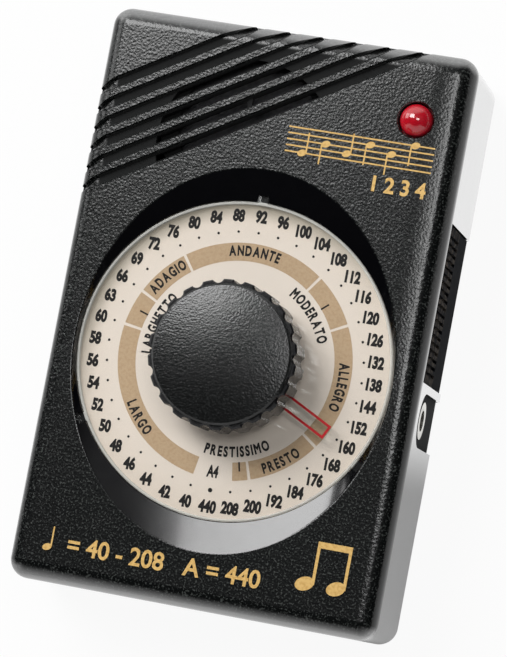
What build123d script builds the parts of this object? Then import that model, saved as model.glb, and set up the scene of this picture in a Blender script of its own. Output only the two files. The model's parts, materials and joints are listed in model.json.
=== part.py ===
from build123d import *
from math import asin, cos, degrees, radians, sin, sqrt
import os

os.makedirs("parts", exist_ok=True)

# All sizes are in mm. The metronome lies on its back: rear face at z = 0, dial towards +Z,
# twelve o'clock towards +Y, battery door and earphone socket towards +X.

# Battery, a standard 9 V block lying across the case
battery_length = 46.4
battery_width = 26.5
battery_thick = 17.5
battery_corner = 1.8
stud_radius = 2.85
stud_height = 2.1
stud_spacing = 12.7
clip_play = 0.1
clip_wall = 0.95
snap_gap = 0.2
snap_thick = 3.2
snap_height = 10.0
wire_room = 7.8
pad_thick = 0.4
pad_margin = 4.0
battery_pcb_gap = 0.4
battery_from_dial = 2.45
snap_margin = 0.5
cradle_gap = 0.3
cradle_thick = 1.1
cradle_inset = 1.5
cradle_over = 4.0

# Shells
wall = 2.0
rear_wall = 1.6
front_wall = 2.0
corner_radius = 3.3
front_round = 3.2
rear_round = 1.2
inner_corner = 1.0
over = 1.0
lip_thick = 0.95
lip_play = 0.05
lip_height = 1.0
seam_over_battery = 2.8

# Dial stack and dish
dial_y = -7.4
dial_radius = 27.3
dial_play = 0.15
dial_thick = 0.8
window_thick = 1.0
window_drop = 0.9
dish_side_spread = 0.35
dish_end_spread = 5.55
dish_wall = 2.0
dish_margin = 4.4
dish_lip_round = 0.3
seat_width = 3.0
seat_thick = 1.5
lug_reach = 1.0
lug_width = 1.6
lug_root = 2.0
lug_play = 0.15
lug_turn = 120.0

# Circuit board and rotary switch
pcb_thick = 1.2
switch_room = 2.1
pcb_edge_gap = 1.6
pcb_foot_gap = 8.0
pcb_speaker_gap = 3.3
arm_bracket_gap = 0.8
arm_past_led = 3.2
track_thick = 0.05
step_count = 40
pad_inner = 9.0
pad_outer = 11.0
pad_width = 0.9
common_inner = 6.4
common_outer = 7.8
rotor_radius = 13.0
rotor_thick = 0.9
rotor_top_gap = 0.2
wiper_thick = 0.2
wiper_gap = 0.03
wiper_width = 3.0
wiper_overhang = 0.5
finger_radius = 0.4
detent_radius = 17.6
detent_rim = 2.4
detent_thick = 0.8
notch_depth = 0.6
notch_width = 1.3
nose_gap = 0.3
spring_thick = 0.3
spring_width = 3.0
spring_root = 5.0
nose_width = 1.0
nose_length = 0.6
nose_top_gap = 0.2

# Tempo knob, pointer and shaft
shaft_radius = 2.5
pilot_radius = 2.0
shaft_play = 0.08
shaft_step = 0.2
shaft_end_gap = 0.1
press_play = 0.02
bush_play = 0.05
bush_radius = 4.0
bush_flange = 5.2
bush_flange_thick = 0.5
pointer_lift = 0.9
pointer_thick = 1.2
pointer_reach = 20.9
pointer_width = 2.7
pointer_disc = 9.0
pointer_angle = 117.0
knob_radius = 12.7
knob_height = 7.4
knob_lift = 0.2
knob_wall = 1.8
knob_web = 1.6
knob_hub = 4.5
flute_count = 22
flute_radius = 1.1
flute_depth = 0.6
skirt_bevel = 0.3
cap_radius = 11.9
cap_thick = 0.8
cap_bevel = 0.35
cap_dome = 0.5
cap_peg = 0.4
hub_web = 1.0
hub_web_drop = 1.8

# Speaker and grille
speaker_radius = 13.75
speaker_x = -5.5
speaker_rim = 1.1
speaker_pan = 0.4
speaker_margin = 1.75
cone_edge = 0.9
cone_thick = 0.2
cone_rise = 0.5
cone_fold = 8.0
speaker_battery_gap = 0.1
magnet_radius = 8.0
magnet_chamfer = 0.5
magnet_height = 4.0
magnet_gap = 2.85
gasket_thick = 0.6
gasket_width = 1.6
collar_play = 0.2
collar_wall = 1.25
collar_below = 0.6
bracket_thick = 0.8
bracket_width = 6.0
bracket_reach = 18.0
bracket_leg = 9.9
bracket_bend = 1.0
bracket_gap = 0.1
groove_count = 6
groove_width = 2.0
groove_floor = 1.1
groove_depth = 1.0
groove_side = 0.4
groove_pitch = 2.97
groove_angle = 30.6
groove_first = 46.1
groove_wrap = 6.0
slot_width = 1.1
grille_radius = 15.5
grille_dx = 0.5
grille_dy = -3.9
bridge_groove = 4
bridge_width = 0.8

# Signal lamp
led_side = 8.8
led_top = 12.0
led_radius = 2.85
led_hole_play = 0.2
led_proud = 1.6
led_flange = 3.3
led_flange_thick = 1.0
led_spacer_height = 1.5
led_hole_chamfer = 0.2
lead_radius = 0.25
lead_spacing = 2.54
lead_hole_play = 0.1
lead_tail = 0.7

# Screws
boss_radius = 3.0
tube_radius = 3.4
boss_gap = 0.1
boss_meet = 12.0
screw_web = 2.0
screw_radius = 1.2
screw_length = 10.0
head_radius = 2.2
head_height = 1.6
head_play = 0.3
hole_play = 0.25
thread_play = 0.05
drive_width = 0.6
drive_length = 2.6
drive_depth = 0.8
pilot_spare = 0.4
small_radius = 0.95
small_length = 4.5
small_head = 1.9
small_head_height = 1.3
small_boss = 2.2
foot_screw_side = 3.4
foot_screw_rise = 10.0
dial_screw_side = 7.5
dial_screw_rise = 14.8
arm_screw_side = 6.5
arm_screw_rise = 4.85

# Battery door
door_thick = 1.6
door_inset = 0.3
door_play = 0.2
door_over_battery = 0.4
door_to_battery = 0.4
hinge_height = 1.6
hinge_pin = 0.55
hinge_pin_length = 0.8
hinge_play = 0.07
rib_pitch = 1.3
rib_count = 19
rib_groove = 0.6
rib_depth = 0.5
rib_start = 10.5
rib_end_gap = 1.5

# Earphone socket
plug_radius = 1.8
plug_depth = 14.5
socket_drop = 4.2
socket_width = 8.0
socket_back_wall = 1.8
socket_gap = 0.2
relief_radius = 4.65
relief_depth = 0.8
relief_rib = 1.4
ferrule_radius = 2.9
ferrule_flange = 3.2
ferrule_play = 0.1
ferrule_sink = 0.1
blade_thick = 0.3
blade_length = 10.0
blade_height = 8.0
blade_setback = 1.5

# Volume wheel
wheel_radius = 8.4
wheel_thick = 3.0
wheel_out = 1.2
wheel_play = 0.35
wheel_gap = 3.25
wheel_notches = 30
wheel_notch_depth = 0.45
wheel_notch_width = 0.95
wheel_drop = 0.9
wheel_hub = 3.0
wheel_axle = 1.5
axle_length = 3.0
axle_play = 0.1
pot_size = 9.5
pot_height = 4.4

# Parts on the board, with places measured from the dial centre
near_row = 15.2
far_row = 24.2
ic_side = -3.0
crystal_side = 1.0
can_side = 13.0
can_pitch = 7.0
resistor_side = -16.0
resistor_row = 21.6
transistor_side = 20.5
transistor_row = 22.2
ic_length = 19.3
ic_width = 6.4
ic_height = 3.4
ic_lift = 0.5
ic_legs = 8
ic_pitch = 2.54
ic_leg_width = 0.5
ic_leg_thick = 0.3
crystal_length = 11.0
crystal_width = 4.6
crystal_height = 3.5
crystal_round = 2.2
can_radius = 2.5
can_height = 7.0
can_chamfer = 0.4
resistor_radius = 1.1
resistor_length = 6.0
resistor_lead = 0.3
resistor_pitch = 3.2
resistor_reach = 1.5
resistor_count = 4
transistor_radius = 2.4
transistor_flat = 1.2
transistor_height = 4.8
transistor_lift = 1.5
transistor_pitch = 1.27
transistor_root = 1.0
wire_radius = 0.5
wire_bend = 1.5
wire_loop = 3.4
wire_first = 3.8
wire_pitch = 2.6
tag_side = 10.0
tag_drop = 5.5
tag_step = 1.4
speaker_wire_drop = 2.3
speaker_wire_end = 1.7
speaker_wire_pitch = 1.8

# Heights worked out from the stack
battery_z0 = rear_wall + pad_thick
battery_z1 = battery_z0 + battery_thick
battery_zc = (battery_z0 + battery_z1) / 2
pcb_z0 = battery_z1 + battery_pcb_gap
pcb_z1 = pcb_z0 + pcb_thick
dial_z0 = pcb_z1 + switch_room
dial_z1 = dial_z0 + dial_thick
window_z1 = dial_z1 + window_thick
case_depth = window_z1 + window_drop
seam_z = battery_z1 + seam_over_battery
seat_z0 = dial_z0 - seat_thick
inner_front = case_depth - front_wall
rotor_z1 = dial_z0 - rotor_top_gap
rotor_z0 = rotor_z1 - rotor_thick
pointer_z0 = window_z1 + pointer_lift
pointer_z1 = pointer_z0 + pointer_thick
knob_z0 = pointer_z1 + knob_lift
knob_z1 = knob_z0 + knob_height
cap_z1 = knob_z1 + cap_thick

# Width, height and places worked out from what has to fit
seat_radius = dial_radius + dial_play
door_stack = door_inset + door_thick + door_to_battery
width_for_dial = 2 * (seat_radius + dish_side_spread + dish_margin)
snap_stack = stud_height + snap_gap + snap_thick
width_for_battery = battery_length + door_stack + snap_stack + wire_room
case_width = max(width_for_dial, width_for_battery)
half_w = case_width / 2
battery_y0 = dial_y + battery_from_dial
battery_y1 = battery_y0 + battery_width
battery_y = (battery_y0 + battery_y1) / 2
battery_x1 = half_w - door_stack
battery_x0 = battery_x1 - battery_length
stud_x = battery_x0 - stud_height
snap_x1 = stud_x - snap_gap
snap_x0 = snap_x1 - snap_thick
speaker_y = battery_y1 + magnet_gap + magnet_radius
half_h = speaker_y + speaker_radius + speaker_margin + wall
case_height = 2 * half_h
collar_radius = speaker_radius + collar_play + collar_wall
led_x = half_w - led_side
led_y = half_h - led_top
boss_x = half_w - wall - tube_radius - boss_gap
boss_y = half_h - wall - tube_radius - boss_gap
boss_places = [(sx * boss_x, sy * boss_y) for sx in (-1, 1) for sy in (-1, 1)]
screw_z = boss_meet - screw_web
door_width = battery_width + door_over_battery
door_y0 = battery_y - door_width / 2
door_y1 = battery_y + door_width / 2
door_x1 = half_w - door_inset
door_x0 = door_x1 - door_thick
door_z1 = seam_z - door_play
hinge_x = (door_x0 + door_x1) / 2
socket_y = door_y0 - door_play - relief_rib - relief_radius
socket_z = pcb_z0 - socket_drop
socket_x1 = half_w - wall - socket_gap
socket_mouth = half_w - ferrule_sink
plug_end = socket_mouth - plug_depth
wheel_x = -half_w - wheel_out + wheel_radius
wheel_y = battery_y0 - wheel_gap - wheel_radius
pot_z0 = pcb_z0 - pot_height
wheel_z1 = pot_z0 - wheel_drop
wheel_z0 = wheel_z1 - wheel_thick
pcb_x = half_w - wall - pcb_edge_gap
pcb_y0 = -half_h + wall + pcb_foot_gap
pcb_y1 = speaker_y - collar_radius - pcb_speaker_gap
arm_x0 = speaker_x + bracket_reach + small_boss + arm_bracket_gap
arm_y1 = led_y + arm_past_led
board_screws = [
    (-pcb_x + foot_screw_side, pcb_y0 + foot_screw_rise),
    (pcb_x - foot_screw_side, pcb_y0 + foot_screw_rise),
    (-half_w + dial_screw_side, dial_y + dial_screw_rise),
    (half_w - arm_screw_side, battery_y1 + arm_screw_rise),
]
speaker_pan_z = battery_z1 + speaker_battery_gap
gasket_z0 = seat_z0 - gasket_thick
rim_z0 = gasket_z0 - speaker_rim
collar_z0 = speaker_pan_z + collar_below
cone_seat = gasket_z0 - cone_edge / 2
magnet_z0 = speaker_pan_z - magnet_height
bracket_z = speaker_pan_z - bracket_gap
bracket_seat = bracket_z - bracket_thick
bracket_screws = [(speaker_x - bracket_reach, speaker_y), (speaker_x + bracket_reach, speaker_y)]
ic_place = (ic_side, dial_y - near_row)
crystal_place = (crystal_side, dial_y - far_row)
can_places = [
    (can_side, dial_y - near_row),
    (can_side + can_pitch, dial_y - near_row),
    (can_side, dial_y - far_row),
]
resistor_place = (resistor_side, dial_y - resistor_row)
transistor_place = (transistor_side, dial_y - transistor_row)


def block(x0, x1, y0, y1, z0, z1):
    return Pos((x0 + x1) / 2, (y0 + y1) / 2, (z0 + z1) / 2) * Box(x1 - x0, y1 - y0, z1 - z0)


def post(x, y, radius, z0, z1):
    return Pos(x, y, (z0 + z1) / 2) * Cylinder(radius, z1 - z0)


def ring(x, y, outer, inner, z0, z1):
    return post(x, y, outer, z0, z1) - post(x, y, inner, z0 - over, z1 + over)


def rod_x(y, z, radius, x0, x1):
    return Pos((x0 + x1) / 2, y, z) * Rot(Y=90) * Cylinder(radius, x1 - x0)


def rod_y(x, z, radius, y0, y1):
    return Pos(x, (y0 + y1) / 2, z) * Rot(X=90) * Cylinder(radius, y1 - y0)


def plan_block(inset, z0, z1):
    radius = max(corner_radius - inset, inner_corner)
    plan = RectangleRounded(case_width - 2 * inset, case_height - 2 * inset, radius)
    return Pos(0, 0, z0) * extrude(plan, z1 - z0)


def rounded_case():
    body = plan_block(0, 0, case_depth)
    body = fillet(body.edges().group_by(Axis.Z)[-1], front_round)
    return fillet(body.edges().group_by(Axis.Z)[0], rear_round)


def turned(x, y, outline):
    face = make_face(Polyline(*outline, close=True))
    return Pos(x, y, 0) * revolve(Plane.XZ * face, Axis.Z)


def tube(points, radius, bend):
    path = FilletPolyline(*points, radius=bend)
    return sweep(Plane(origin=path @ 0, z_dir=path % 0) * Circle(radius), path=path)


def around_dial(angle):
    return Pos(0, dial_y, 0) * Rot(Z=-angle)


def notches(radius, depth, width, count, start):
    corners = [(-depth, -width), (depth, 0), (-depth, width)]
    tooth = make_face(Polyline(*corners, close=True))
    return [place * tooth for place in PolarLocations(radius, count, start)]


# Shells
def dish():
    floor = Pos(0, dial_y, window_z1) * Circle(seat_radius)
    rim_x = seat_radius + dish_side_spread
    rim = Pos(0, dial_y, case_depth) * Ellipse(rim_x, seat_radius + dish_end_spread)
    return loft([floor.face(), rim.face()]) + extrude(rim, over)


def groove_places():
    places = []
    for index in range(groove_count):
        offset = groove_first - index * groove_pitch
        shift = Pos(-offset * sin(radians(groove_angle)), offset * cos(radians(groove_angle)), case_depth)
        places.append(shift * Rot(Z=groove_angle))
    return places


def groove_cutter():
    slope = (groove_width - groove_floor) / (2 * groove_depth)
    top = groove_floor / 2 + slope * (groove_depth + over)
    low = groove_floor / 2
    corners = [(-low, -groove_wrap), (low, -groove_wrap), (low, -groove_depth), (top, over), (-top, over),
               (-low, -groove_depth)]
    return extrude(Plane.YZ * make_face(Polyline(*corners, close=True)), case_height, both=True)


def lugs(play, top):
    made = []
    for index in range(3):
        reach = seat_radius + lug_reach + play
        half = lug_width / 2 + play
        arm = block(-half, half, dial_radius - lug_root, reach, dial_z1, top)
        made.append(around_dial(lug_turn * index) * arm)
    return made


def front_shell():
    case = rounded_case()
    shell = case & plan_block(-over, seam_z, case_depth + over)
    shell -= plan_block(wall, seam_z - over, inner_front)
    shell -= plan_block(wall - lip_thick - lip_play, seam_z - over, seam_z + lip_height + lip_play)
    shell += post(0, dial_y, seat_radius + dish_wall, seat_z0, window_z1)
    collar = post(speaker_x, speaker_y, collar_radius, collar_z0, inner_front)
    collar -= post(speaker_x, speaker_y, speaker_radius + collar_play, 0, seat_z0)
    collar -= post(speaker_x, speaker_y, speaker_radius - gasket_width, 0, inner_front)
    shell += collar & plan_block(wall, 0, case_depth)
    for x, y in boss_places:
        shell += post(x, y, boss_radius, boss_meet, inner_front)
    for x, y in board_screws:
        shell += post(x, y, small_boss, pcb_z1, inner_front)
    for x, y in bracket_screws:
        shell += post(x, y, small_boss, bracket_z, inner_front)
    shell -= dish()
    shell -= post(0, dial_y, seat_radius, dial_z0, window_z1)
    shell -= post(0, dial_y, seat_radius - seat_width, 0, dial_z0)
    shell -= lugs(lug_play, case_depth)
    rim = shell.edges().filter_by(lambda edge: abs(edge.center().Z - case_depth) < 0.01)
    rim = [edge for edge in rim if edge.geom_type == GeomType.ELLIPSE]
    shell = fillet(rim, dish_lip_round)
    core = plan_block(groove_side, 0, case_depth - groove_depth)
    core = fillet(core.edges().group_by(Axis.Z)[-1], front_round - groove_side)
    cutter = groove_cutter()
    for place in groove_places():
        shell -= place * cutter - core
    grille_x = speaker_x + grille_dx
    grille_y = speaker_y + grille_dy
    grille = post(grille_x, grille_y, grille_radius, inner_front - over, case_depth + over)
    for index, place in enumerate(groove_places()):
        slot = place * Box(2 * case_height, slot_width, 4 * groove_wrap) & grille
        if index == bridge_groove:
            slot -= Pos(speaker_x, speaker_y, 0) * Box(bridge_width, case_height, 3 * case_depth)
        shell -= slot
    shell -= post(led_x, led_y, led_radius + led_hole_play, inner_front - over, case_depth + over)
    flare = led_radius + led_hole_play + led_hole_chamfer
    cone_place = Pos(led_x, led_y, case_depth - led_hole_chamfer / 2)
    shell -= cone_place * Cone(flare - led_hole_chamfer, flare, led_hole_chamfer)
    for x, y in boss_places:
        shell -= post(x, y, screw_radius + thread_play, 0, screw_z + screw_length + pilot_spare)
    for x, y in board_screws:
        shell -= post(x, y, small_radius + thread_play, 0, pcb_z0 + small_length + pilot_spare)
    for x, y in bracket_screws:
        shell -= post(x, y, small_radius + thread_play, 0, bracket_seat + small_length + pilot_spare)
    return shell


def rear_shell():
    shell = rounded_case() & plan_block(-over, -over, seam_z)
    shell += plan_block(wall - lip_thick, seam_z - over, seam_z + lip_height)
    shell -= plan_block(wall, rear_wall, case_depth)
    for x, y in boss_places:
        shell += post(x, y, tube_radius, rear_wall / 2, boss_meet)
    cradle_x0 = battery_x0 + cradle_inset
    cradle_x1 = battery_x1 - cradle_inset
    cradle_z1 = battery_zc + cradle_over
    for y0 in (battery_y0 - cradle_gap - cradle_thick, battery_y1 + cradle_gap):
        shell += block(cradle_x0, cradle_x1, y0, y0 + cradle_thick, rear_wall / 2, cradle_z1)
    for x, y in boss_places:
        shell -= post(x, y, head_radius + head_play, -over, screw_z)
        shell -= post(x, y, screw_radius + hole_play, -over, boss_meet + over)
    door_edge = door_x0 - door_play
    shell -= block(door_edge, half_w + over, door_y0 - door_play, door_y1 + door_play, -over, case_depth)
    pin_reach = door_play + hinge_pin_length + door_play
    shell -= rod_y(hinge_x, hinge_height, hinge_pin + hinge_play, door_y0 - pin_reach, door_y1 + pin_reach)
    relief_x = half_w - relief_depth
    relief = rod_x(socket_y, socket_z, relief_radius, relief_x, half_w + over)
    relief_y0 = socket_y - relief_radius
    relief_y1 = socket_y + relief_radius
    relief += block(relief_x, half_w + over, relief_y0, relief_y1, -over, socket_z)
    shell -= relief
    shell -= rod_x(socket_y, socket_z, ferrule_radius + ferrule_play, half_w - wall - over, half_w + over)
    reach = wheel_x + half_w - wall
    slot_half = sqrt(wheel_radius ** 2 - reach ** 2) + wheel_play
    slot_z0 = wheel_z0 - wheel_play
    slot_z1 = wheel_z1 + wheel_play
    slot_x1 = -half_w + wall + over
    shell -= block(-half_w - over, slot_x1, wheel_y - slot_half, wheel_y + slot_half, slot_z0, slot_z1)
    return shell


def case_screws():
    made = []
    for x, y in boss_places:
        screw = post(x, y, head_radius, screw_z - head_height, screw_z)
        screw += post(x, y, screw_radius, screw_z - head_height, screw_z + screw_length)
        for turn in (0, 90):
            drive = Rot(Z=turn) * Box(drive_length, drive_width, 2 * drive_depth)
            screw -= Pos(x, y, screw_z - head_height) * drive
        made.append(screw)
    return Compound(children=made)


def small_screws():
    made = []
    seats = [(x, y, pcb_z0) for x, y in board_screws]
    seats += [(x, y, bracket_seat) for x, y in bracket_screws]
    for x, y, seat in seats:
        screw = post(x, y, small_head, seat - small_head_height, seat)
        screw += post(x, y, small_radius, seat - small_head_height, seat + small_length)
        drive = Box(small_head, drive_width, drive_depth)
        screw -= Pos(x, y, seat - small_head_height) * drive
        made.append(screw)
    return Compound(children=made)


# Battery door and battery
def battery_door():
    door = block(door_x0, door_x1, door_y0, door_y1, hinge_height, door_z1)
    door += rod_y(hinge_x, hinge_height, door_thick / 2, door_y0, door_y1)
    pin = door_play + hinge_pin_length
    door += rod_y(hinge_x, hinge_height, hinge_pin, door_y0 - pin, door_y1 + pin)
    for index in range(rib_count):
        y = battery_y + (index - (rib_count - 1) / 2) * rib_pitch
        z0 = rib_start
        z1 = door_z1 - rib_end_gap
        door -= block(door_x1 - rib_depth, door_x1 + over, y - rib_groove / 2, y + rib_groove / 2, z0, z1)
    return door


def battery():
    end = Plane.YZ * RectangleRounded(battery_width, battery_thick, battery_corner)
    return Pos(battery_x0, battery_y, battery_zc) * extrude(end, battery_length)


def stud(y, x0, x1):
    return rod_x(y, battery_zc, stud_radius, x0, x1)


def clip(y, x0, x1):
    inner = stud_radius + clip_play
    outer = rod_x(y, battery_zc, inner + clip_wall, x0, x1)
    return outer - rod_x(y, battery_zc, inner, x0 - over, x1 + over)


def battery_terminals():
    low = battery_y - stud_spacing / 2
    high = battery_y + stud_spacing / 2
    return Compound(children=[stud(low, stud_x, battery_x0), clip(high, stud_x, battery_x0)])


def snap_studs():
    low = battery_y - stud_spacing / 2
    high = battery_y + stud_spacing / 2
    end = battery_x0 - snap_gap
    return Compound(children=[clip(low, snap_x1, end), stud(high, snap_x1, end)])


def battery_snap():
    plan = Plane.YZ * RectangleRounded(battery_width - snap_margin, snap_height, battery_corner)
    return Pos(snap_x0, battery_y, battery_zc) * extrude(plan, snap_thick)


def battery_pad():
    x0 = battery_x0 + pad_margin
    x1 = battery_x1 - pad_margin
    return block(x0, x1, battery_y0 + pad_margin, battery_y1 - pad_margin, rear_wall, battery_z0)


def battery_wires():
    wire_x = snap_x0 - wire_loop
    made = []
    for index in range(2):
        y = battery_y0 + wire_first + index * wire_pitch
        route = [(snap_x0, y, battery_zc), (wire_x, y, battery_zc), (wire_x, y, pcb_z0)]
        made.append(tube(route, wire_radius, wire_bend))
    return Compound(children=made)


# Dial, window and lamp
def dial_plate():
    return ring(0, dial_y, dial_radius, bush_radius + bush_play, dial_z0, dial_z1)


def dial_window():
    window = ring(0, dial_y, dial_radius, bush_radius + bush_play, dial_z1, window_z1)
    window += lugs(0, window_z1)
    return window


def dial_bush():
    bush = post(0, dial_y, bush_radius, dial_z0, window_z1)
    bush += post(0, dial_y, bush_flange, window_z1, window_z1 + bush_flange_thick)
    return bush - post(0, dial_y, shaft_radius + shaft_play, 0, knob_z0)


def led_lens():
    base = pcb_z1 + led_spacer_height
    top = case_depth + led_proud
    shoulder = top - led_radius
    lens = post(led_x, led_y, led_radius, base, shoulder)
    lens += Pos(led_x, led_y, shoulder) * Sphere(led_radius) & post(led_x, led_y, led_flange, shoulder, top)
    return lens + post(led_x, led_y, led_flange, base, base + led_flange_thick)


def lead_places():
    return [(led_x - lead_spacing / 2, led_y), (led_x + lead_spacing / 2, led_y)]


def led_leads():
    top = pcb_z1 + led_spacer_height
    leads = [post(x, y, lead_radius, pcb_z0 - lead_tail, top) for x, y in lead_places()]
    return Compound(children=leads)


def led_spacer():
    spacer = post(led_x, led_y, led_flange, pcb_z1, pcb_z1 + led_spacer_height)
    for x, y in lead_places():
        spacer -= post(x, y, lead_radius + lead_hole_play, 0, case_depth)
    return spacer


# Speaker
def speaker_frame():
    pan = post(speaker_x, speaker_y, speaker_radius, speaker_pan_z, rim_z0 + speaker_rim)
    pan -= post(speaker_x, speaker_y, speaker_radius - cone_edge, cone_seat, case_depth)
    floor_z = speaker_pan_z + speaker_pan
    return pan - post(speaker_x, speaker_y, speaker_radius - 2 * cone_edge, floor_z, case_depth)


def speaker_cone():
    edge = speaker_radius - cone_edge - lip_play
    top = cone_seat + cone_thick
    outline = [
        (0, cone_seat + cone_rise / 2),
        (cone_fold / 2, cone_seat + cone_rise),
        (cone_fold, cone_seat - cone_rise / 2),
        (edge - cone_edge, cone_seat),
        (edge, cone_seat),
        (edge, top),
        (edge - cone_edge, top),
        (cone_fold, top - cone_rise / 2),
        (cone_fold / 2, top + cone_rise),
        (0, top + cone_rise / 2),
    ]
    return turned(speaker_x, speaker_y, outline)


def speaker_magnet():
    magnet = post(speaker_x, speaker_y, magnet_radius, magnet_z0, speaker_pan_z)
    return chamfer(magnet.edges().group_by(Axis.Z)[0], magnet_chamfer)


def speaker_gasket():
    outer = speaker_radius - lip_play
    return ring(speaker_x, speaker_y, outer, speaker_radius - gasket_width, gasket_z0, seat_z0)


def speaker_bracket():
    z_end = bracket_z - bracket_thick / 2
    z_mid = magnet_z0 - bracket_thick / 2
    reach = bracket_reach + small_head
    points = [
        (speaker_x - reach, speaker_y, z_end),
        (speaker_x - bracket_leg, speaker_y, z_end),
        (speaker_x - bracket_leg, speaker_y, z_mid),
        (speaker_x + bracket_leg, speaker_y, z_mid),
        (speaker_x + bracket_leg, speaker_y, z_end),
        (speaker_x + reach, speaker_y, z_end),
    ]
    path = FilletPolyline(*points, radius=bracket_bend)
    start = Plane(origin=path @ 0, x_dir=(0, 1, 0), z_dir=path % 0)
    strip = sweep(start * Rectangle(bracket_width, bracket_thick), path=path)
    for x, y in bracket_screws:
        strip -= post(x, y, small_radius + hole_play, 0, case_depth)
    return strip


def speaker_wires():
    run_z = pcb_z0 - speaker_wire_drop
    made = []
    for index in range(2):
        start_x = speaker_x - tag_side - tag_step * index
        start_y = speaker_y - tag_drop + tag_step * index
        end_x = snap_x0 - speaker_wire_pitch * index
        end_y = pcb_y1 - speaker_wire_end
        route = [
            (start_x, start_y, speaker_pan_z),
            (start_x, start_y, run_z),
            (end_x, end_y, run_z),
            (end_x, end_y, pcb_z0),
        ]
        made.append(tube(route, wire_radius, wire_bend))
    return Compound(children=made)


# Circuit board
def main_pcb():
    board = block(-pcb_x, pcb_x, pcb_y0, pcb_y1, pcb_z0, pcb_z1)
    board += block(arm_x0, pcb_x, pcb_y1 - over, arm_y1, pcb_z0, pcb_z1)
    board -= post(0, dial_y, pilot_radius + axle_play, 0, case_depth)
    for x, y in board_screws:
        board -= post(x, y, small_radius + hole_play, 0, case_depth)
    for x, y in lead_places():
        board -= post(x, y, lead_radius + lead_hole_play, 0, case_depth)
    return board


def contact_tracks():
    top = pcb_z1 + track_thick
    made = [ring(0, dial_y, common_outer, common_inner, pcb_z1, top)]
    for index in range(step_count):
        pad = block(-pad_width / 2, pad_width / 2, pad_inner, pad_outer, pcb_z1, top)
        made.append(around_dial(360 / step_count * index) * pad)
    return Compound(children=made)


def timing_ic():
    x, y = ic_place
    z1 = pcb_z0 - ic_lift
    chip = block(x - ic_length / 2, x + ic_length / 2, y - ic_width / 2, y + ic_width / 2, z1 - ic_height, z1)
    for side in (-1, 1):
        for index in range(ic_legs):
            leg_x = x + (index - (ic_legs - 1) / 2) * ic_pitch
            leg_y = y + side * (ic_width + ic_leg_thick) / 2
            leg = Box(ic_leg_width, ic_leg_thick, ic_height / 2 + ic_lift)
            chip += Pos(leg_x, leg_y, pcb_z0 - (ic_height / 2 + ic_lift) / 2) * leg
    return chip


def quartz_crystal():
    x, y = crystal_place
    can = extrude(RectangleRounded(crystal_length, crystal_width, crystal_round), crystal_height)
    return Pos(x, y, pcb_z0 - crystal_height) * can


def capacitors():
    made = []
    for x, y in can_places:
        can = post(x, y, can_radius, pcb_z0 - can_height, pcb_z0)
        made.append(chamfer(can.edges().group_by(Axis.Z)[0], can_chamfer))
    return Compound(children=made)


def resistors():
    x, first_y = resistor_place
    made = []
    for index in range(resistor_count):
        y = first_y - index * resistor_pitch
        z = pcb_z0 - resistor_radius
        body = rod_x(y, z, resistor_radius, x - resistor_length / 2, x + resistor_length / 2)
        reach = resistor_length / 2 + resistor_reach
        body += rod_x(y, z, resistor_lead, x - reach, x + reach)
        for end in (x - reach, x + reach):
            body += post(end, y, resistor_lead, z, pcb_z0)
        made.append(body)
    return Compound(children=made)


def transistor():
    x, y = transistor_place
    z1 = pcb_z0 - transistor_lift
    can = post(x, y, transistor_radius, z1 - transistor_height, z1)
    beyond = transistor_radius + over
    can -= block(x - beyond, x + beyond, y - beyond, y - transistor_flat, 0, case_depth)
    for index in (-1, 0, 1):
        can += post(x + index * transistor_pitch, y, lead_radius, z1 - transistor_root, pcb_z0)
    return can


# Earphone socket
def earphone_socket():
    x0 = plug_end - socket_back_wall
    y0 = socket_y - socket_width / 2
    body = block(x0, socket_x1, y0, y0 + socket_width, socket_z - socket_width / 2, pcb_z0)
    return body - rod_x(socket_y, socket_z, plug_radius, plug_end, half_w + over)


def socket_ferrule():
    ferrule = rod_x(socket_y, socket_z, ferrule_radius, socket_x1, socket_mouth)
    ferrule += rod_x(socket_y, socket_z, ferrule_flange, half_w - relief_depth, socket_mouth)
    return ferrule - rod_x(socket_y, socket_z, plug_radius, plug_end, half_w + over)


def socket_blades():
    made = []
    x1 = socket_x1 - blade_setback
    low = socket_y - socket_width / 2
    high = socket_y + socket_width / 2
    for y0 in (low - blade_thick, high):
        made.append(block(x1 - blade_length, x1, y0, y0 + blade_thick, pcb_z0 - blade_height, pcb_z0))
    return Compound(children=made)


# Volume wheel
def volume_pot():
    half = pot_size / 2
    body = block(wheel_x - half, wheel_x + half, wheel_y - half, wheel_y + half, pot_z0, pcb_z0)
    return body - post(wheel_x, wheel_y, wheel_axle + axle_play, 0, pot_z0 + axle_length + axle_play)


def volume_wheel():
    rim = Circle(wheel_radius)
    rim -= notches(wheel_radius, -wheel_notch_depth, wheel_notch_width, wheel_notches, 0)
    wheel = Pos(wheel_x, wheel_y, wheel_z0) * extrude(rim, wheel_thick)
    wheel += post(wheel_x, wheel_y, wheel_hub, wheel_z1, pot_z0 - axle_play)
    return wheel + post(wheel_x, wheel_y, wheel_axle, wheel_z1, pot_z0 + axle_length)


# Tempo knob, pointer and rotary switch
def tempo_knob():
    profile = Circle(knob_radius)
    flute_ring = knob_radius - flute_depth + flute_radius
    start = 90 - pointer_angle
    profile -= [place * Circle(flute_radius) for place in PolarLocations(flute_ring, flute_count, start)]
    knob = Pos(0, dial_y, knob_z0) * extrude(profile, knob_height)
    knob = chamfer(knob.edges().group_by(Axis.Z)[-1], skirt_bevel)
    knob -= post(0, dial_y, knob_radius - knob_wall, 0, knob_z1 - knob_web)
    knob += post(0, dial_y, knob_hub, pointer_z1, knob_z1)
    knob -= post(0, dial_y, shaft_radius + press_play, 0, knob_z1 - hub_web_drop - hub_web)
    knob -= post(0, dial_y, small_radius + hole_play, 0, knob_z1)
    return knob - post(0, dial_y, head_radius + head_play, knob_z1 - hub_web_drop, knob_z1 + over)


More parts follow.
